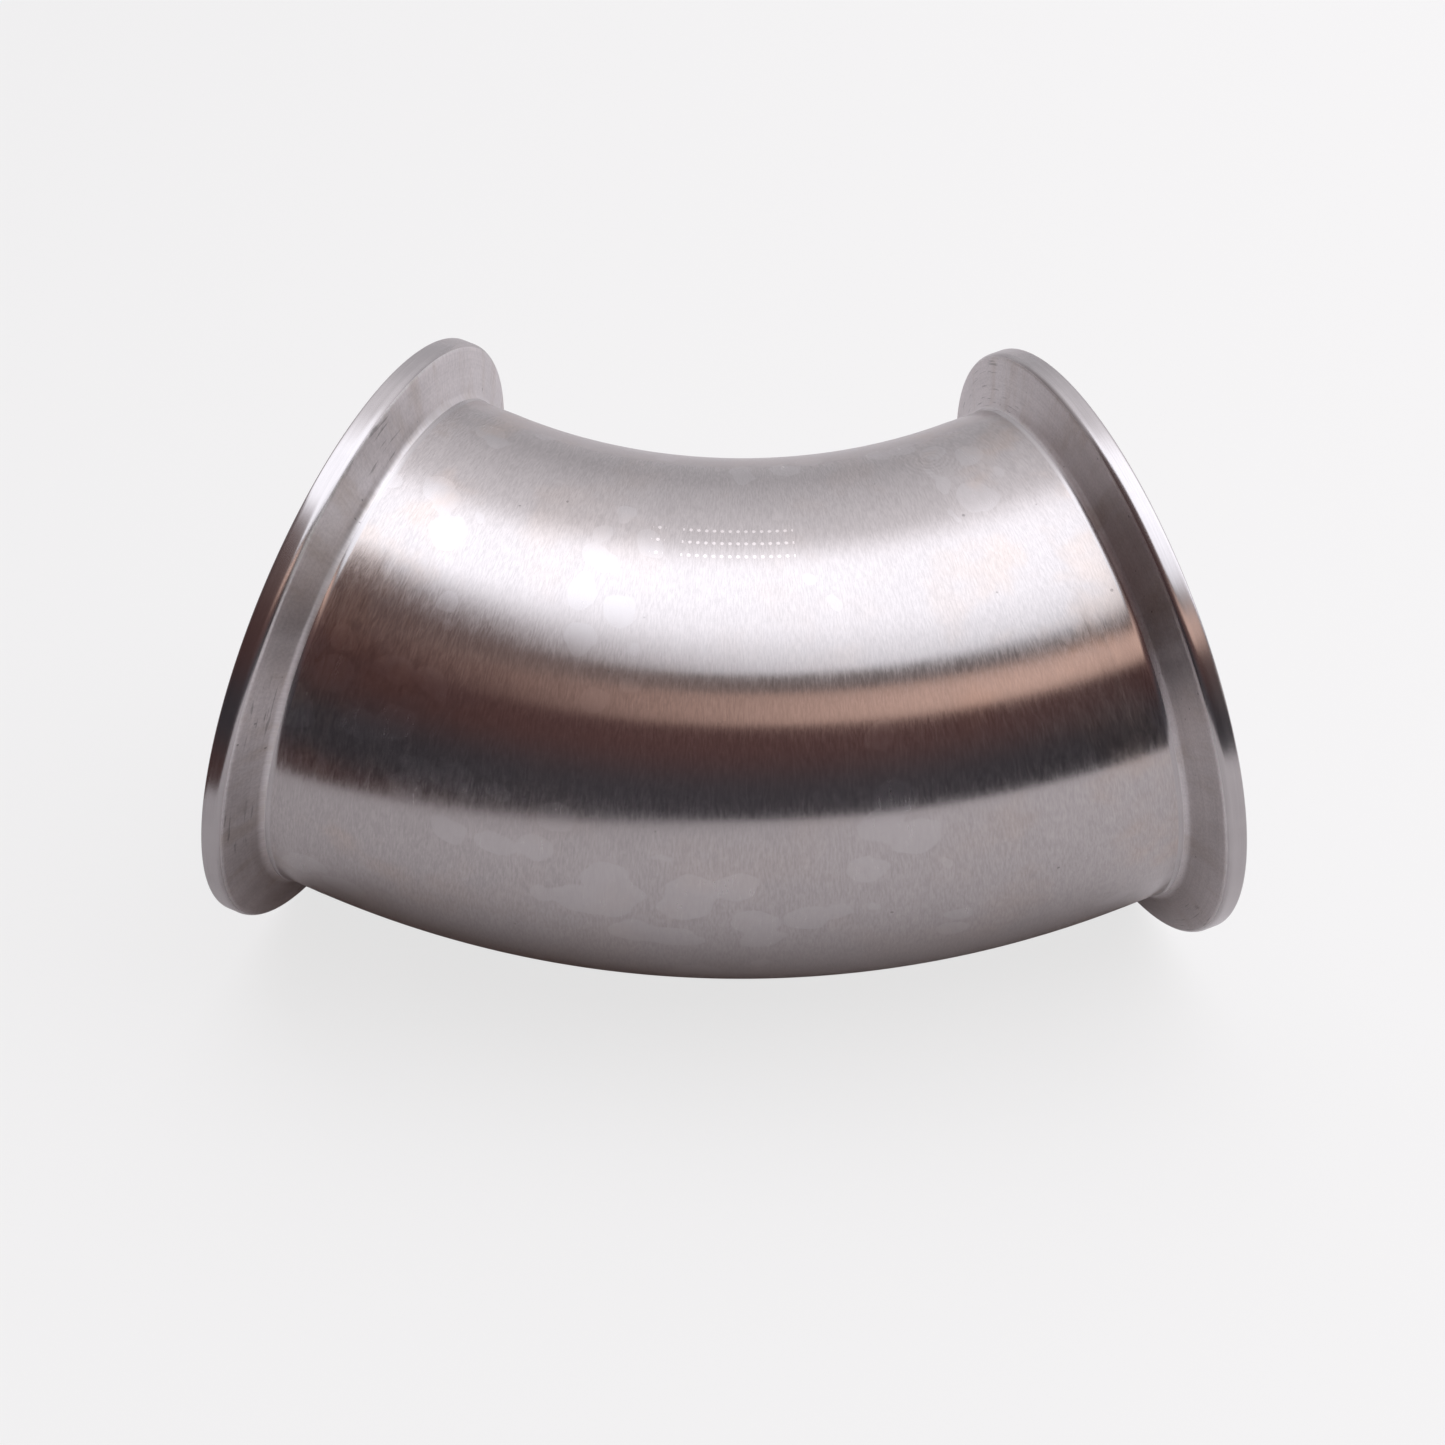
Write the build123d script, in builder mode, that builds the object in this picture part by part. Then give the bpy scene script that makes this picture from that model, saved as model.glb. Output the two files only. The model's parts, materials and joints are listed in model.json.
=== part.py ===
from build123d import *
from math import asin, cos, radians, sin, sqrt, tan
import os

# A 3 inch hygienic clamp elbow of 45 degrees, in thin stainless tube.
# It lies as it rests on a flat surface: on the back corner of both rims and on the belly of
# the bend. The two open ends face -X (inlet) and +X (outlet), x = 0 is the mirror plane, and
# the origin is under the middle of the elbow, on the surface. Millimetres, +Z up.

# Driving dimensions: tube and bend
tube_diameter = 76.2
wall = 1.65
bend_radius = 114.3
bend_angle = 45.0

# Driving dimensions: ferrule
ferrule_length = 12.7      # end of the bend to the sealing face, weld included
flange_diameter = 90.9
flange_thickness = 2.84    # at the rim
flange_back_angle = 20.0   # slope of the conical back, against a plane across the duct
root_fillet = 1.7
back_corner_radius = 1.2
front_edge_radius = 0.3
groove_diameter = 83.4
groove_radius = 1.6
groove_depth = 1.45

# Driving dimensions: weld, ground nearly flush
weld_width = 2.0
weld_cap_height = 0.06
weld_root_height = 0.05

# Derived sizes
tube_radius = tube_diameter / 2
bore_radius = tube_radius - wall
flange_radius = flange_diameter / 2
half_angle = radians(bend_angle / 2)
back_angle = radians(flange_back_angle)
back_cone_rise = (flange_radius - tube_radius) * tan(back_angle)
rim_back = ferrule_length - flange_thickness
back_corner_centre = rim_back + back_corner_radius * (1 / cos(back_angle) - tan(back_angle))

# Tilt of the bend's plane at which the belly and both back corners touch the surface together.
# corner_reach and corner_ring place the circle that the rounded corner is drawn around, from
# the middle of the duct at the belly; the tilt's sine is the root of a quadratic.
corner_reach = (
    bend_radius
    - bend_radius * cos(half_angle)
    + back_corner_centre * sin(half_angle)
)
corner_ring = flange_radius - back_corner_radius
quadratic_a = corner_reach**2 + (corner_ring * sin(half_angle)) ** 2
quadratic_b = 2 * corner_reach * (tube_radius - back_corner_radius)
quadratic_c = (tube_radius - back_corner_radius) ** 2 - corner_ring**2
tilt = asin((-quadratic_b + sqrt(quadratic_b**2 - 4 * quadratic_a * quadratic_c)) / (2 * quadratic_a))

# Front-to-back extent, measured from the centre of the bend: the belly in front, and the
# rounded front edge of the rims behind.
edge_ring = flange_radius - front_edge_radius
edge_reach = bend_radius * cos(half_angle) - (ferrule_length - front_edge_radius) * sin(half_angle)
belly_y = -bend_radius * cos(tilt) - tube_radius
rim_y = -edge_reach * cos(tilt) + edge_ring * sqrt(1 - (sin(half_angle) * cos(tilt)) ** 2) + front_edge_radius
bend_centre = (0, -(belly_y + rim_y) / 2, bend_radius * sin(tilt) + tube_radius)

# Plane of the bend: its X is the row's X, its Y runs from the belly to the centre of the bend
bend_plane = Plane(origin=bend_centre, x_dir=(1, 0, 0), z_dir=(0, -sin(tilt), cos(tilt)))
bend_axis = Axis(bend_plane.origin, bend_plane.z_dir)


def end_of_bend(side):
    """Plane across the duct where the bend ends, facing out; side is -1 at the inlet, +1 at the outlet."""
    turned = bend_plane.location * Rotation(0, 0, side * bend_angle / 2)
    return Plane(turned * Pos(0, -bend_radius, 0) * Rotation(0, side * 90, 0))


def lengthwise(end):
    """Plane through the duct's axis: its X is the radius and its Y the distance past the bend's end."""
    return Plane(origin=end.origin, x_dir=end.x_dir, z_dir=-end.y_dir)


os.makedirs("parts", exist_ok=True)
inlet_end = end_of_bend(-1)
outlet_end = end_of_bend(1)

# Bend tube: the ring of wall at the inlet end, turned about the centre of the bend
with BuildPart() as bend_tube:
    with BuildSketch(inlet_end):
        Circle(tube_radius)
        Circle(bore_radius, mode=Mode.SUBTRACT)
    revolve(axis=bend_axis, revolution_arc=bend_angle)
bend_tube.part.label = "bend_tube"
export_step(bend_tube.part, "parts/bend_tube.step")

# The weld and the ferrule at each end are turned about the duct's axis
for end_name, end in {"inlet": inlet_end, "outlet": outlet_end}.items():
    duct_axis = Axis(end.origin, end.z_dir)

    # Weld: a ring of the wall's thickness with a slightly crowned cap and root
    with BuildPart() as weld:
        with BuildSketch(lengthwise(end)):
            with BuildLine():
                Line((bore_radius, 0), (tube_radius, 0))
                ThreePointArc(
                    (tube_radius, 0),
                    (tube_radius + weld_cap_height, weld_width / 2),
                    (tube_radius, weld_width),
                )
                Line((tube_radius, weld_width), (bore_radius, weld_width))
                ThreePointArc(
                    (bore_radius, weld_width),
                    (bore_radius - weld_root_height, weld_width / 2),
                    (bore_radius, 0),
                )
            make_face()
        revolve(axis=duct_axis)
    weld.part.label = end_name + "_weld"
    export_step(weld.part, "parts/" + end_name + "_weld.step")

    # Ferrule: neck, root fillet, conical back, rounded rim, and the groove in the sealing face
    with BuildPart() as ferrule:
        with BuildSketch(lengthwise(end)) as profile:
            with BuildLine():
                Polyline(
                    (bore_radius, weld_width),
                    (tube_radius, weld_width),
                    (tube_radius, rim_back - back_cone_rise),
                    (flange_radius, rim_back),
                    (flange_radius, ferrule_length),
                    (bore_radius, ferrule_length),
                    close=True,
                )
            make_face()
            fillet(profile.vertices().group_by(Axis.X)[1].sort_by(Axis.Y)[-1], root_fillet)
            fillet(profile.vertices().group_by(Axis.X)[-1].sort_by(Axis.Y)[0], back_corner_radius)
            fillet(profile.vertices().group_by(Axis.X)[-1].sort_by(Axis.Y)[-1], front_edge_radius)
            with Locations((groove_diameter / 2, ferrule_length + groove_radius - groove_depth)):
                Circle(groove_radius, mode=Mode.SUBTRACT)
        revolve(axis=duct_axis)
    ferrule.part.label = end_name + "_ferrule"
    export_step(ferrule.part, "parts/" + end_name + "_ferrule.step")
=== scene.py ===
import json
from math import acos, cos, degrees, pi, radians, sin, tan

import bpy
import numpy as np
from mathutils import Matrix, Vector, noise


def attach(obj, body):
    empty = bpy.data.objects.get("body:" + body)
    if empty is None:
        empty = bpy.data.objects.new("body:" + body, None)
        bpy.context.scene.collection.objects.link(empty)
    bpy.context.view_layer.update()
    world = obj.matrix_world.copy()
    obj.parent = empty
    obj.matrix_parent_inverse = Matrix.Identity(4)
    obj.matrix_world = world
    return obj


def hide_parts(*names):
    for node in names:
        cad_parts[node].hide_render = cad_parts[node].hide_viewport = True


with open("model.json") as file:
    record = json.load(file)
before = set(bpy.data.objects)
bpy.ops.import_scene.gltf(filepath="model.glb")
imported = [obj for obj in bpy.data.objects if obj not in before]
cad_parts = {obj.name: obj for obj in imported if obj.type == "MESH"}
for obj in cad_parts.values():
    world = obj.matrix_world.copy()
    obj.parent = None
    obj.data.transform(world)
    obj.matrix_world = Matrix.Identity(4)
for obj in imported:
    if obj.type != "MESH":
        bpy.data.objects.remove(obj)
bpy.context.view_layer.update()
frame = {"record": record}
mounts = {mount["name"]: mount for mount in frame["record"]["mounts"]}

# ---------------------------------------------------------------------------------------------
# Sizes in metres. Those that the frame holds are read from it, and the rest are the ferrule's.
# ---------------------------------------------------------------------------------------------
WALL = 0.00165
WELD_WIDTH = 0.002
WELD_CAP = 0.000012     # ground back further than the CAD allows
WELD_ROOT = 0.00005
FLANGE_THICKNESS = 0.00284
BACK_ANGLE = radians(20)
ROOT_FILLET = 0.0017
BACK_CORNER = 0.0012
FRONT_EDGE = 0.0003
GROOVE_CENTRE = 0.0417
GROOVE_RADIUS = 0.0016
GROOVE_DEPTH = 0.00145

inlet_bore, outlet_bore = mounts["inlet_bore"], mounts["outlet_bore"]
bore_radius = outlet_bore["dims"]["r_mm"] / 1000
bore_length = outlet_bore["dims"]["length_mm"] / 1000
flange_radius = mounts["outlet_rim"]["dims"]["r_mm"] / 1000
tube_radius = bore_radius + WALL
ferrule_length = bore_length + WELD_WIDTH

# Where the ferrule's straight neck ends and its root fillet starts, past the end of the bend
BACK_RISE = (flange_radius - tube_radius) * tan(BACK_ANGLE)
FILLET_REACH = ROOT_FILLET * tan((pi / 2 - BACK_ANGLE) / 2)
NECK_END = ferrule_length - FLANGE_THICKNESS - BACK_RISE - FILLET_REACH

# The bend's own axes: across from end to end, inward from the belly to the bend's centre, and
# normal to its plane
inlet_out, outlet_out = Vector(inlet_bore["axis"]), Vector(outlet_bore["axis"])
across = (outlet_out - inlet_out).normalized()
inward = (outlet_out + inlet_out).normalized()
normal = across.cross(inward)
half_angle = (pi - inlet_out.angle(outlet_out)) / 2
bend_ends = [
    Vector(bore["pos_m"]) - Vector(bore["axis"]) * (bore_length / 2 + WELD_WIDTH)
    for bore in (inlet_bore, outlet_bore)
]
bend_radius = (bend_ends[1] - bend_ends[0]).length / 2 / sin(half_angle)
bend_centre = (bend_ends[0] + bend_ends[1]) / 2 + inward * bend_radius * cos(half_angle)
half_arc = bend_radius * half_angle

# Steps of the meshes, and the angle from which an edge is shaded sharp
TUBE_STEPS = 190
BORE_STEPS = 60
WALL_STEPS = 2
TUBE_AROUND = 336
FERRULE_AROUND = 384
NECK_STEPS = 6
FILLET_STEPS = 14
BACK_STEPS = 14
CORNER_STEPS = 10
RIM_STEPS = 6
EDGE_STEPS = 6
OUTER_LAND_STEPS = 4
GROOVE_STEPS = 18
INNER_LAND_STEPS = 6
FERRULE_BORE_STEPS = 10
WELD_STEPS = 8
SHARP_ANGLE = radians(28)

# The pressed tube isn't a perfect torus: shallow hollows, their depth and their size
RIPPLE = 0.000018
RIPPLE_SIZE = 0.022
RIPPLE_FADE = 8         # the higher, the nearer to the welds the hollows reach


# ---------------------------------------------------------------------------------------------
# Meshes: every piece is a closed profile of (distance along the duct, radius) turned round the
# duct. Distance 0 is the middle of the bend; past half_arc the duct runs on straight.
# ---------------------------------------------------------------------------------------------
def duct_section(along):
    """Centre of the duct, its direction and its outward side at a distance along it."""
    turn = max(-half_angle, min(half_angle, along / bend_radius))
    direction = across * cos(turn) + inward * sin(turn)
    outer = across * sin(turn) - inward * cos(turn)
    past = along - turn * bend_radius
    return bend_centre + outer * bend_radius + direction * past, direction, outer


def arc(centre, radius, start, end, steps):
    """Points of an arc in the (along, radius) plane; angles in degrees from the along axis."""
    angles = [radians(start + (end - start) * i / steps) for i in range(steps + 1)]
    return [(centre[0] + radius * cos(a), centre[1] + radius * sin(a)) for a in angles]


def straight(start, end, steps):
    """Points of a straight stretch, without its last point."""
    return [
        (start[0] + (end[0] - start[0]) * i / steps, start[1] + (end[1] - start[1]) * i / steps)
        for i in range(steps)
    ]


def set_vectors(mesh, name, vectors):
    """Stores one vector for each of the mesh's points."""
    attribute = mesh.attributes.new(name, "FLOAT_VECTOR", "POINT")
    attribute.data.foreach_set("vector", vectors.ravel())


def turned_shell(name, profile, around, relief=None):
    """A closed shell: the profile turned round the duct.

    relief(along, radius, angle) adds to the radius.
    Attributes for the materials: duct = (along, cos, sin of the angle round the duct), finish =
    (brushed, dull, depth across the lines), and lengthwise = the surface's direction across the
    brush and lathe lines.
    """
    rows = []
    for along, radius in profile:
        centre, _, outer = duct_section(along)
        row = []
        for j in range(around):
            angle = 2 * pi * j / around
            r = radius + (relief(along, radius, angle) if relief else 0.0)
            row.append(centre + (outer * cos(angle) + normal * sin(angle)) * r)
        rows.append(row)
    points = np.array(rows)
    count = len(profile)
    faces = []
    for i in range(count):
        k = (i + 1) % count
        for j in range(around):
            m = (j + 1) % around
            faces.append((i * around + j, i * around + m, k * around + m, k * around + j))
    mesh = bpy.data.meshes.new(name)
    mesh.from_pydata(points.reshape(-1, 3).tolist(), [], faces)

    angles = 2 * pi * np.arange(around) / around
    alongs = np.repeat([p[0] for p in profile], around)
    duct = np.stack([alongs, np.tile(np.cos(angles), count), np.tile(np.sin(angles), count)], 1)
    set_vectors(mesh, "duct", duct)
    finish = np.repeat([surface_finish(*p) for p in profile], around, axis=0)
    set_vectors(mesh, "finish", finish)
    slope = np.roll(points, -1, 0) - np.roll(points, 1, 0)
    slope /= np.linalg.norm(slope, axis=2, keepdims=True)
    set_vectors(mesh, "lengthwise", slope)

    mesh.polygons.foreach_set("use_smooth", [True] * len(mesh.polygons))
    mesh.set_sharp_from_angle(angle=SHARP_ANGLE)
    mesh.validate()
    mesh.update()
    piece = bpy.data.objects.new(name, mesh)
    bpy.context.scene.collection.objects.link(piece)
    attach(piece, "root")
    return piece


def surface_finish(along, radius):
    """How far a point is brushed like the tube, and how far it is dull like the flange's back."""
    past = abs(along) - half_arc
    outside = radius > tube_radius - WALL / 2
    brushed = outside and past < NECK_END
    dull = outside and NECK_END + ROOT_FILLET / 2 < past < ferrule_length - FLANGE_THICKNESS
    return float(brushed), float(dull), along + radius


def signed_volume(mesh):
    """Volume with the sign of the faces' direction."""
    mesh.calc_loop_triangles()
    total = 0.0
    for triangle in mesh.loop_triangles:
        a, b, c = (mesh.vertices[i].co for i in triangle.vertices)
        total += a.dot(b.cross(c)) / 6
    return total


def face_outward(piece):
    """Flips the faces of a closed shell that point inward."""
    if signed_volume(piece.data) < 0:
        piece.data.flip_normals()


def tube_relief(along, radius, angle):
    """Shallow inward hollows left by the bending die, fading out at the welds."""
    if radius < tube_radius - WALL / 2:
        return 0.0
    fade = 1 - (along / half_arc) ** RIPPLE_FADE
    where = Vector((along, tube_radius * cos(angle), tube_radius * sin(angle))) / RIPPLE_SIZE
    return -RIPPLE * fade * (1 + noise.noise(where))


def make_bend_tube():
    """The outer wall, then back along the bore."""
    outer = straight((-half_arc, tube_radius), (half_arc, tube_radius), TUBE_STEPS)
    end_wall = straight((half_arc, tube_radius), (half_arc, bore_radius), WALL_STEPS)
    inner = straight((half_arc, bore_radius), (-half_arc, bore_radius), BORE_STEPS)
    start_wall = straight((-half_arc, bore_radius), (-half_arc, tube_radius), WALL_STEPS)
    profile = outer + end_wall + inner + start_wall
    piece = turned_shell("bend_tube_skin", profile, TUBE_AROUND, tube_relief)
    face_outward(piece)
    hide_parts("bend_tube")
    return piece


def ferrule_profile():
    """The ferrule's section, as distances past the end of the bend, and radii.

    It runs over the neck, root fillet, conical back, rounded rim and sealing face with its
    groove, and back along the bore.
    """
    rim_back = ferrule_length - FLANGE_THICKNESS
    fillet_centre = (NECK_END, tube_radius + ROOT_FILLET)
    corner_along = rim_back + BACK_CORNER * (1 / cos(BACK_ANGLE) - tan(BACK_ANGLE))
    corner_centre = (corner_along, flange_radius - BACK_CORNER)
    edge_centre = (ferrule_length - FRONT_EDGE, flange_radius - FRONT_EDGE)
    groove_along = ferrule_length + GROOVE_RADIUS - GROOVE_DEPTH
    groove_half = acos((GROOVE_RADIUS - GROOVE_DEPTH) / GROOVE_RADIUS)
    groove_degrees = degrees(groove_half)
    groove = arc(
        (groove_along, GROOVE_CENTRE),
        GROOVE_RADIUS,
        180 - groove_degrees,
        180 + groove_degrees,
        GROOVE_STEPS,
    )
    slope_degrees = degrees(BACK_ANGLE)
    fillet = arc(fillet_centre, ROOT_FILLET, 270, 360 - slope_degrees, FILLET_STEPS)
    corner = arc(corner_centre, BACK_CORNER, 180 - slope_degrees, 90, CORNER_STEPS)
    edge = arc(edge_centre, FRONT_EDGE, 90, 0, EDGE_STEPS)
    profile = straight((WELD_WIDTH, tube_radius), fillet[0], NECK_STEPS)
    profile += fillet[:-1]
    profile += straight(fillet[-1], corner[0], BACK_STEPS)
    profile += corner[:-1]
    profile += straight(corner[-1], edge[0], RIM_STEPS)
    profile += edge[:-1]
    profile += straight(edge[-1], groove[0], OUTER_LAND_STEPS)
    profile += groove[:-1]
    profile += straight(groove[-1], (ferrule_length, bore_radius), INNER_LAND_STEPS)
    profile += straight(
        (ferrule_length, bore_radius), (WELD_WIDTH, bore_radius), FERRULE_BORE_STEPS
    )
    profile += straight((WELD_WIDTH, bore_radius), (WELD_WIDTH, tube_radius), WALL_STEPS)
    return profile


def make_ferrule(name, side):
    profile = [(side * (half_arc + along), radius) for along, radius in ferrule_profile()]
    piece = turned_shell(name + "_turned", profile, FERRULE_AROUND)
    face_outward(piece)
    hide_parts(name)
    return piece


def make_weld(name, side):
    cap, root = [], []
    for i in range(WELD_STEPS):
        t = i / WELD_STEPS
        crown = 4 * t * (1 - t)
        cap.append((WELD_WIDTH * t, tube_radius + WELD_CAP * crown))
        root.append((WELD_WIDTH * (1 - t), bore_radius - WELD_ROOT * crown))
    profile = cap + straight((WELD_WIDTH, tube_radius), (WELD_WIDTH, bore_radius), WALL_STEPS)
    profile += root + straight((0, bore_radius), (0, tube_radius), WALL_STEPS)
    profile = [(side * (half_arc + along), radius) for along, radius in profile]
    piece = turned_shell(name + "_bead", profile, TUBE_AROUND)
    face_outward(piece)
    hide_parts(name)
    return piece


bend_tube = make_bend_tube()
ferrules = [make_ferrule("inlet_ferrule", -1), make_ferrule("outlet_ferrule", 1)]
welds = [make_weld("inlet_weld", -1), make_weld("outlet_weld", 1)]


# ---------------------------------------------------------------------------------------------
# Materials
# ---------------------------------------------------------------------------------------------
CLEAN_STEEL = (0.524, 0.496, 0.490, 1)
SPOTTED_STEEL = (0.522, 0.499, 0.496, 1)
TINTED_STEEL = (0.545, 0.487, 0.456, 1)
TURNED_STEEL = (0.530, 0.508, 0.506, 1)
DULL_STEEL = (0.740, 0.712, 0.712, 1)
STAINED_STEEL = (0.665, 0.620, 0.595, 1)
BRUSHED_SPREAD = 0.85   # anisotropy: how much wider gloss spreads across the lines than along them
TURNED_SPREAD = 0.5

# Brush and lathe lines: their width, and their length round the duct
FINE_BRUSH = (0.00022, 0.0014)
MEDIUM_BRUSH = (0.0008, 0.0050)
WIDE_BRUSH = (0.0045, 0.0200)
FINE_LATHE = (0.00018, 0.0120)
WIDE_LATHE = (0.0012, 0.0300)
BACK_STREAK = (0.00035, 0.0045)

# The generic mark of plain dots: distances along the duct, and on the circle round it
DOT_PITCH = 0.0012
DOT_ROW_PITCH = 0.0023
DOT_RADIUS = 0.00034
DOT_CORE = 0.00020
DOT_ROWS = 3
MARK_ANGLE = radians(107)
ROWS_MIDDLE = 0.0012
ROWS_HALF = 0.0084
BLOCK_MIDDLE = -0.0108
BLOCK_HALF = 0.0010

# The smudge: where it is, how far it reaches, and the pitch of its ridges
SMUDGE_ANGLE = radians(128)
SMUDGE_ALONG = 0.79     # of the half arc
SMUDGE_REACH = 0.0085
SMUDGE_CORE = 0.0040
RIDGE_PITCH = 0.0009

BRUSH_RELIEF = 0.0000030
TURNED_RELIEF = 0.000005


class Graph:
    """A node tree, with short calls that add nodes and join them."""

    def __init__(self, tree):
        self.tree = tree

    def add(self, kind, inputs=None, **settings):
        node = self.tree.nodes.new("ShaderNode" + kind)
        for key, value in settings.items():
            setattr(node, key, value)
        for key, value in (inputs or {}).items():
            self.put(node.inputs[key], value)
        return node

    def put(self, socket, value):
        if isinstance(value, bpy.types.NodeSocket):
            self.tree.links.new(value, socket)
        else:
            socket.default_value = value

    def math(self, operation, *values):
        node = self.add("Math", operation=operation)
        for socket, value in zip(node.inputs, values):
            self.put(socket, value)
        return node.outputs[0]

    def sum(self, *values):
        total = values[0]
        for value in values[1:]:
            total = self.math("ADD", total, value)
        return total

    def product(self, *values):
        total = values[0]
        for value in values[1:]:
            total = self.math("MULTIPLY", total, value)
        return total

    def vector(self, x, y, z):
        return self.add("CombineXYZ", {0: x, 1: y, 2: z}).outputs[0]

    def split(self, vector):
        return self.add("SeparateXYZ", {0: vector}).outputs

    def attribute(self, name):
        return self.add("Attribute", attribute_name=name).outputs["Vector"]

    def noise(self, vector, scale=1.0, detail=2.0, rough=0.5, output="Fac"):
        node = self.add("TexNoise", {
            "Vector": vector, "Scale": scale, "Detail": detail, "Roughness": rough
        })
        return node.outputs[output]

    def ramp(self, value, low, high, to_low=0.0, to_high=1.0, smooth=True):
        """The value's way from low to high, as a value from to_low to to_high, and held beyond."""
        node = self.add("MapRange", interpolation_type="SMOOTHSTEP" if smooth else "LINEAR")
        ends = {"From Min": low, "From Max": high, "To Min": to_low, "To Max": to_high}
        for key, end in ends.items():
            self.put(node.inputs[key], end)
        self.put(node.inputs["Value"], value)
        return node.outputs["Result"]

    def between(self, kind, fac, a, b):
        """Between a and b; the Mix node has sockets of each kind, and only one kind is in use."""
        first, result = {"FLOAT": (2, 0), "VECTOR": (4, 1), "RGBA": (6, 2)}[kind]
        node = self.add("Mix", {"Factor": fac}, data_type=kind)
        self.put(node.inputs[first], a)
        self.put(node.inputs[first + 1], b)
        return node.outputs[result]

    def mix(self, fac, a, b):
        """A colour between two colours."""
        return self.between("RGBA", fac, a, b)

    def blend(self, fac, a, b):
        """A value between two values."""
        return self.between("FLOAT", fac, a, b)

    def scaled(self, colour, value):
        """The colour times a value."""
        return self.add("VectorMath", {0: colour, "Scale": value}, operation="SCALE").outputs[0]

    def moved(self, vector, offset):
        return self.add("VectorMath", {0: vector, 1: offset}, operation="ADD").outputs[0]

    def bump(self, height, distance, strength):
        node = self.add("Bump", {"Height": height, "Distance": distance, "Strength": strength})
        return node.outputs["Normal"]

    def inverse(self, value):
        """One less the value."""
        return self.sum(1.0, self.product(value, -1.0))


def new_steel(name):
    """A metal material whose brush lines run round the duct, its graph and its surface shader."""
    material = bpy.data.materials.new(name)
    material.use_nodes = True
    g = Graph(material.node_tree)
    surface = material.node_tree.nodes["Principled BSDF"]
    surface.inputs["Metallic"].default_value = 1.0
    g.put(surface.inputs["Tangent"], g.attribute("lengthwise"))
    return material, g, surface


class DuctPlace:
    """Where a point is: along the duct, on a circle round it in metres at the tube's wall."""

    def __init__(self, g):
        self.g = g
        self.along, cosine, sine = g.split(g.attribute("duct"))
        self.side = g.product(cosine, tube_radius)
        self.top = g.product(sine, tube_radius)
        self.hoop = g.product(g.math("ARCTAN2", sine, cosine), tube_radius)
        self.plain = g.vector(self.along, self.side, self.top)

    def cells(self, across_lines, round_duct, depth=None):
        """Coordinates in cells, across the brush lines and round the duct."""
        g = self.g
        along = self.along if depth is None else depth
        return g.vector(
            g.math("DIVIDE", along, across_lines),
            g.math("DIVIDE", self.side, round_duct),
            g.math("DIVIDE", self.top, round_duct),
        )


def speckles(g, place, size, reach, share):
    """Sparse round specks: cells of a size, specks up to a share of the cell, some cells only."""
    cells = g.add("TexVoronoi", {"Vector": place, "Scale": 1 / size})
    chance, width, _ = g.split(cells.outputs["Color"])
    radius = g.ramp(width, 0.0, 1.0, reach * 0.35, reach, smooth=False)
    near = g.math("DIVIDE", cells.outputs["Distance"], radius)
    return g.product(g.ramp(near, 1.0, 0.7), g.ramp(chance, 1 - share, 1 - share + 0.01))


def dried_spots(g, place):
    """Rounded blots with crisp edges, single and in clusters, where drops dried on the steel."""
    wobble = g.noise(place.plain, scale=260.0, detail=1.0, output="Color")
    where = g.moved(place.plain, g.scaled(g.moved(wobble, (-0.5, -0.5, -0.5)), 0.0024))
    spots = {"Vector": where, "Scale": 165.0, "Smoothness": 0.30}
    cells = g.add("TexVoronoi", spots, feature="SMOOTH_F1")
    cluster = g.noise(place.plain, scale=46.0, detail=1.0, rough=0.4)
    field = g.sum(cells.outputs["Distance"], g.ramp(cluster, 0.46, 0.56, 0.5, 0.0))
    return g.ramp(field, 0.46, 0.43)


def handling_smudge(g, place):
    """A faint smudge of curved ridges near the outlet end, from -1 to 1."""
    centre = (
        half_arc * SMUDGE_ALONG,
        tube_radius * cos(SMUDGE_ANGLE),
        tube_radius * sin(SMUDGE_ANGLE),
    )
    offset = g.moved(place.plain, tuple(-value for value in centre))
    away = g.add("VectorMath", {0: offset}, operation="LENGTH").outputs["Value"]
    bend = g.product(g.noise(place.plain, scale=180.0, detail=1.0), 9.0)
    ridges = g.math("SINE", g.sum(g.product(away, 2 * pi / RIDGE_PITCH), bend))
    broken = g.ramp(g.noise(place.plain, scale=240.0), 0.40, 0.55)
    patch = g.product(g.ramp(away, SMUDGE_REACH, SMUDGE_CORE), broken)
    return g.product(ridges, patch)


def dot_mark(g, place):
    """A generic mark: three short rows and one short block of plain dots, outside only."""
    def within(value, middle, half):
        return g.math("LESS_THAN", g.math("ABSOLUTE", g.sum(value, -middle)), half)

    height = g.sum(place.hoop, -MARK_ANGLE * tube_radius)
    across_dot = g.math("PINGPONG", place.along, DOT_PITCH / 2)
    round_dot = g.math("PINGPONG", height, DOT_ROW_PITCH / 2)
    square = g.sum(g.product(across_dot, across_dot), g.product(round_dot, round_dot))
    dot = g.ramp(g.math("SQRT", square), DOT_RADIUS, DOT_CORE)
    tall = g.math("LESS_THAN", g.math("ABSOLUTE", height), DOT_ROW_PITCH * DOT_ROWS / 2)
    rows = within(place.along, ROWS_MIDDLE, ROWS_HALF)
    block = within(place.along, BLOCK_MIDDLE, BLOCK_HALF)
    outside = g.split(g.attribute("finish"))[0]
    return g.product(dot, tall, outside, g.math("MAXIMUM", rows, block))


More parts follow.
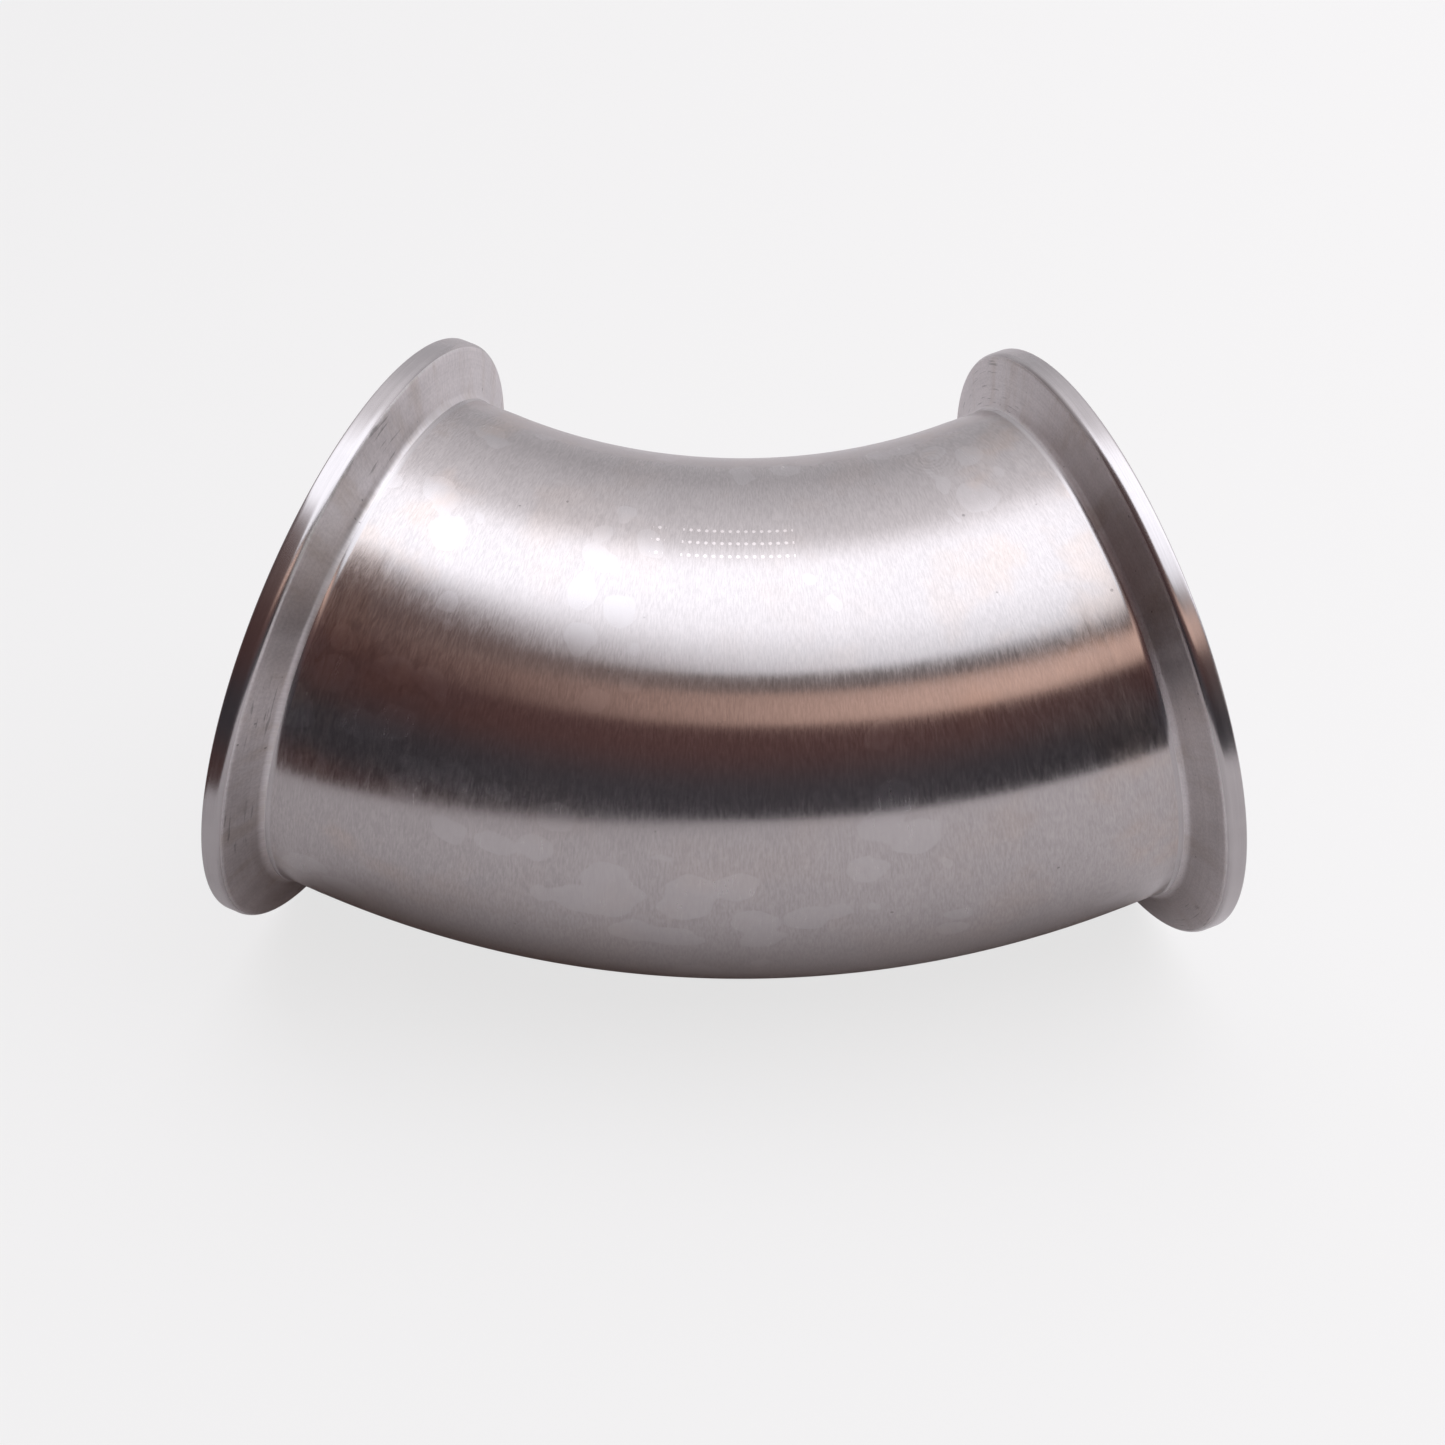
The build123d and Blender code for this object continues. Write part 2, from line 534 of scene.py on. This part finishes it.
def brushed_finish(g, place):
    """Colour, roughness and normal of the brushed tube, blemishes and painted glints included."""
    fine = g.noise(place.cells(*FINE_BRUSH), detail=3.0, rough=0.7)
    medium = g.noise(place.cells(*MEDIUM_BRUSH), detail=3.0, rough=0.6)
    wide = g.noise(place.cells(*WIDE_BRUSH), detail=2.0, rough=0.5)
    cloud = g.noise(place.plain, scale=45.0, detail=3.0, rough=0.55)
    blots = dried_spots(g, place)
    pits = speckles(g, place.plain, 0.0036, 0.085, 0.22)
    # Glints: painted highlights, small specks made lighter in the colour
    glints = speckles(g, g.moved(place.plain, (0.1, 0.2, 0.3)), 0.0045, 0.060, 0.20)
    mark = dot_mark(g, place)

    # Heat tint: pale tan patches, mostly towards the welds
    end = g.ramp(g.math("ABSOLUTE", place.along), half_arc * 0.45, half_arc, 0.25, 1.0)
    patches = g.noise(place.plain, scale=75.0, detail=3.0, rough=0.6)
    tint = g.product(g.ramp(patches, 0.48, 0.66), end)

    # The lines are fainter where a drop dried
    lines = g.product(g.ramp(fine, 0.30, 0.70, -0.10, 0.10), g.sum(1.0, g.product(blots, -0.6)))
    tone = g.sum(
        1.0,
        lines,
        g.ramp(medium, 0.3, 0.7, -0.022, 0.022),
        g.ramp(wide, 0.3, 0.7, -0.012, 0.012),
        g.ramp(cloud, 0.35, 0.65, -0.02, 0.02),
        g.product(blots, 0.09),
        g.product(pits, -0.35),
        g.product(glints, 0.30),
        g.product(mark, 0.55),
        g.product(handling_smudge(g, place), 0.045),
    )
    clean = g.mix(blots, CLEAN_STEEL, SPOTTED_STEEL)
    colour = g.mix(tint, clean, TINTED_STEEL)
    colour = g.scaled(colour, tone)
    roughness = g.sum(
        g.ramp(medium, 0.3, 0.7, 0.190, 0.225),
        g.ramp(cloud, 0.35, 0.65, -0.012, 0.012),
        g.ramp(fine, 0.30, 0.70, -0.020, 0.028),
        g.product(blots, 0.02),
        g.product(mark, 0.10),
    )
    height = g.sum(fine, g.product(pits, -1.6), g.product(mark, -2.2))
    normal = g.bump(height, BRUSH_RELIEF, 0.5)
    return colour, roughness, normal


def turned_finish(g, place, depth, dull):
    """Colour, roughness and normal of the turned ferrule; its dull back is pitted and stained."""
    fine = g.noise(place.cells(*FINE_LATHE, depth), detail=3.0, rough=0.6)
    wide = g.noise(place.cells(*WIDE_LATHE, depth), detail=2.0, rough=0.5)
    cloud = g.noise(place.plain, scale=110.0, detail=4.0, rough=0.6)
    where = g.vector(depth, place.side, place.top)
    grain = g.noise(where, scale=2600.0, detail=2.0, rough=0.6)
    pits = g.product(speckles(g, where, 0.0016, 0.13, 0.45), dull)
    streak_cells = place.cells(*BACK_STREAK, depth)
    streaks = g.product(
        g.ramp(g.noise(streak_cells, detail=1.0), 0.62, 0.72),
        g.ramp(g.noise(place.plain, scale=55.0, detail=1.0), 0.50, 0.58),
        dull,
    )
    patches = g.noise(place.plain, scale=130.0, detail=4.0, rough=0.65)
    stain = g.product(g.ramp(patches, 0.48, 0.68), dull)
    tone = g.sum(
        1.0,
        g.ramp(fine, 0.25, 0.75, -0.04, 0.04),
        g.ramp(wide, 0.3, 0.7, -0.03, 0.03),
        g.ramp(cloud, 0.35, 0.65, -0.04, 0.04),
        g.product(g.ramp(grain, 0.3, 0.7, -0.06, 0.06), dull),
        g.product(pits, -0.40),
        g.product(streaks, -0.35),
        g.product(stain, -0.03),
    )
    steel = g.mix(dull, TURNED_STEEL, DULL_STEEL)
    colour = g.scaled(g.mix(stain, steel, STAINED_STEEL), tone)
    smooth = g.ramp(wide, 0.3, 0.7, 0.20, 0.26)
    matt = g.ramp(cloud, 0.35, 0.65, 0.38, 0.46)
    roughness = g.blend(dull, smooth, matt)
    height = g.sum(
        g.product(fine, 0.6),
        g.product(grain, dull),
        g.product(pits, -3.0),
        g.product(streaks, -1.5),
    )
    normal = g.bump(height, TURNED_RELIEF, 0.55)
    return colour, roughness, normal


def brushed_tube():
    material, g, surface = new_steel("brushed tube steel")
    colour, roughness, normal = brushed_finish(g, DuctPlace(g))
    g.put(surface.inputs["Base Color"], colour)
    g.put(surface.inputs["Roughness"], roughness)
    g.put(surface.inputs["Normal"], normal)
    surface.inputs["Anisotropic"].default_value = BRUSHED_SPREAD
    return material


def turned_ferrule():
    """Brushed like the tube on the neck, turned beyond it."""
    material, g, surface = new_steel("turned ferrule steel")
    place = DuctPlace(g)
    brushed, dull, depth = g.split(g.attribute("finish"))
    neck = brushed_finish(g, place)
    flange = turned_finish(g, place, depth, dull)
    g.put(surface.inputs["Base Color"], g.mix(brushed, flange[0], neck[0]))
    g.put(surface.inputs["Roughness"], g.blend(brushed, flange[1], neck[1]))
    g.put(surface.inputs["Normal"], g.between("VECTOR", brushed, flange[2], neck[2]))
    bright = g.product(g.inverse(brushed), g.inverse(dull))
    spread = g.sum(g.product(brushed, BRUSHED_SPREAD), g.product(bright, TURNED_SPREAD))
    g.put(surface.inputs["Anisotropic"], spread)
    return material


def ground_weld():
    """The tube's finish, a little finer where the bead was ground back."""
    material, g, surface = new_steel("ground weld steel")
    colour, roughness, normal = brushed_finish(g, DuctPlace(g))
    g.put(surface.inputs["Base Color"], g.scaled(colour, 0.99))
    g.put(surface.inputs["Roughness"], g.math("ADD", roughness, 0.008))
    g.put(surface.inputs["Normal"], normal)
    surface.inputs["Anisotropic"].default_value = BRUSHED_SPREAD
    return material


bend_tube.data.materials.append(brushed_tube())
ferrule_steel = turned_ferrule()
for ferrule in ferrules:
    ferrule.data.materials.append(ferrule_steel)
weld_steel = ground_weld()
for weld in welds:
    weld.data.materials.append(weld_steel)


# ---------------------------------------------------------------------------------------------
# Studio: a pale sheet as the floor, in a room with one large soft light overhead
# ---------------------------------------------------------------------------------------------
# The sheet's corners, from the front left round to the back left
SHEET = [(-0.001, -0.56, 0), (0.23, -0.50, 0), (1.9, 3.0, 0), (-1.04, 3.0, 0)]
# The sheet's colour at its left and right ends; the darker left one is painted shade
SHEET_LEFT_PAINTED_SHADE = (0.555, 0.541, 0.540, 1)
SHEET_RIGHT_LIT = (0.860, 0.838, 0.832, 1)
SHEET_GLOW = 0.74       # how much of plain white the camera sees on it


def make_floor():
    """A pale sheet that narrows towards the front; its edges are out of the camera's view."""
    mesh = bpy.data.meshes.new("floor")
    mesh.from_pydata(SHEET, [], [(0, 1, 2, 3)])
    floor = bpy.data.objects.new("floor", mesh)
    bpy.context.scene.collection.objects.link(floor)
    material = bpy.data.materials.new("pale floor")
    material.use_nodes = True
    g = Graph(material.node_tree)
    surface = material.node_tree.nodes["Principled BSDF"]
    surface.inputs["Roughness"].default_value = 0.9
    surface.inputs["Specular IOR Level"].default_value = 0.2

    # Painted shade: the sheet's colour is darker to the left, standing in for less light falling
    # on that side
    sideways = g.split(g.add("TexCoord").outputs["Object"])[0]
    painted_light_to_right = g.ramp(sideways, -0.18, 0.32, smooth=False)
    g.put(surface.inputs["Base Color"], g.mix(painted_light_to_right, SHEET_LEFT_PAINTED_SHADE, SHEET_RIGHT_LIT))

    # The camera sees the sheet lighter than the steel does, for a near-white background
    glow = g.add("Emission", {"Color": (1.0, 1.0, 1.0, 1), "Strength": 1.0})
    seen = g.product(g.add("LightPath").outputs["Is Camera Ray"], SHEET_GLOW)
    shown = g.add("MixShader", {0: seen, 1: surface.outputs[0], 2: glow.outputs[0]})
    g.put(material.node_tree.nodes["Material Output"].inputs["Surface"], shown.outputs[0])
    mesh.materials.append(material)


# Colours of the surround, some above 1 because they are lights
ROOM_LOW = (0.077, 0.071, 0.082, 1)
ROOM_HIGH = (0.138, 0.073, 0.070, 1)
RIGHT_WALL = (0.70, 0.68, 0.68, 1)
WARM_STRIP = (1.24, 0.86, 0.72, 1)
GAP_MIDDLE = (0.215, 0.180, 0.176, 1)
GAP_RIGHT = (0.085, 0.070, 0.070, 1)
LIGHT_FRONT = (0.97, 0.98, 1.05, 1)
LIGHT_BEHIND = (0.985, 0.955, 1.000, 1)
BACKDROP = (0.90, 0.90, 0.905, 1)

# Where the overhead light's front edge starts and ends, and where it starts to fade away behind
LIGHT_EDGE = (54.8, 58.2)
LIGHT_FADE = (104.0, 124.0)


def make_surround():
    """The room and its soft light, by direction.

    rise goes from 0 at the front horizon over 90 overhead to 180 at the back horizon; swing goes
    from -90 at the left to 90 at the right.
    """
    world = bpy.data.worlds.new("surround")
    world.use_nodes = True
    bpy.context.scene.world = world
    g = Graph(world.node_tree)
    east, north, up = g.split(g.add("TexCoord").outputs["Generated"])
    height = g.math("ABSOLUTE", up)
    rise = g.product(g.math("ARCTAN2", height, g.product(north, -1.0)), 180 / pi)
    swing = g.product(g.math("ARCSINE", east), 180 / pi)

    # Dark warm room in front
    side_shade = g.ramp(g.math("ABSOLUTE", g.sum(swing, -3.0)), 18.0, 30.0, 1.0, 0.65)
    room = g.mix(g.ramp(rise, 5.0, 28.0), ROOM_LOW, ROOM_HIGH)
    room = g.scaled(room, side_shade)

    # A pale wall far to the right
    wall = g.product(g.ramp(swing, 42.0, 56.0), g.ramp(rise, 5.0, 25.0))
    room = g.mix(wall, room, RIGHT_WALL)

    # Above it a warm strip, then a grey one under the light
    inside_strip = g.product(g.ramp(rise, 33.8, 36.8), g.ramp(swing, 37.0, 31.0))
    warm = g.product(inside_strip, g.ramp(swing, -17.0, 24.0, smooth=False))
    room = g.mix(warm, room, WARM_STRIP)
    gap = g.mix(g.ramp(swing, 12.0, 28.0), GAP_MIDDLE, GAP_RIGHT)
    above_strip = g.product(g.ramp(rise, 48.0, 50.0), g.ramp(swing, -21.0, 8.0, 0.2, 1.0))
    room = g.mix(above_strip, room, gap)

    # The soft light overhead, cut off on the left, and fading away behind
    level = g.sum(
        g.ramp(rise, *LIGHT_EDGE, 0.0, 1.42),
        g.ramp(rise, 60.0, 78.0, 0.0, 0.60, smooth=False),
        g.ramp(rise, *LIGHT_FADE, 0.0, -0.95),
        g.ramp(rise, 124.0, 165.0, 0.0, -0.47, smooth=False),
    )
    left_edge = g.sum(
        g.ramp(rise, 60.0, 84.0, -3.0, -13.5, smooth=False),
        g.ramp(rise, 84.0, 100.0, 0.0, -17.0, smooth=False),
    )
    past_left = g.ramp(g.math("SUBTRACT", swing, left_edge), -3.0, 3.0)
    behind = g.ramp(rise, 100.0, 124.0)
    lit = g.product(
        g.ramp(rise, *LIGHT_EDGE),
        g.math("MAXIMUM", past_left, g.product(behind, g.ramp(swing, -60.0, -15.0, 0.3, 1.0))),
        g.math("MAXIMUM", g.ramp(swing, 74.0, 58.0), behind),
    )
    light_colour = g.mix(behind, LIGHT_FRONT, LIGHT_BEHIND)
    room = g.mix(lit, room, g.scaled(light_colour, level))

    # The camera sees a plain backdrop instead of the room
    seen = g.add("LightPath").outputs["Is Camera Ray"]
    room = g.mix(seen, room, BACKDROP)
    g.put(world.node_tree.nodes["Background"].inputs["Color"], room)


# The camera: angles, distance in metres and lens in millimetres
CAMERA_AZIMUTH = radians(-0.26)
CAMERA_ELEVATION = radians(38.39)
CAMERA_ROLL = radians(1.21)
CAMERA_DISTANCE = 0.3549
CAMERA_LENS = 60.11
CAMERA_AIM = Vector((-0.00047, -0.00037, -0.00047))   # from the middle of the bend


def make_camera():
    """The camera, looking at the middle of the bend."""
    data = bpy.data.cameras.new("camera")
    data.lens = CAMERA_LENS
    data.sensor_width = 36
    data.clip_start = 0.01
    camera = bpy.data.objects.new("camera", data)
    bpy.context.scene.collection.objects.link(camera)
    bpy.context.scene.camera = camera
    azimuth, elevation = CAMERA_AZIMUTH, CAMERA_ELEVATION
    back = Vector((
        sin(azimuth) * cos(elevation),
        -cos(azimuth) * cos(elevation),
        sin(elevation),
    ))
    level = Vector((cos(azimuth), sin(azimuth), 0))
    right = level * cos(CAMERA_ROLL) + back.cross(level) * sin(CAMERA_ROLL)
    up = back.cross(right)
    middle = bend_centre - inward * bend_radius
    pose = Matrix((right, up, back)).transposed().to_4x4()
    pose.translation = middle + CAMERA_AIM + back * CAMERA_DISTANCE
    camera.matrix_world = pose


make_floor()
make_surround()
make_camera()
bpy.context.scene.view_settings.view_transform = "Standard"
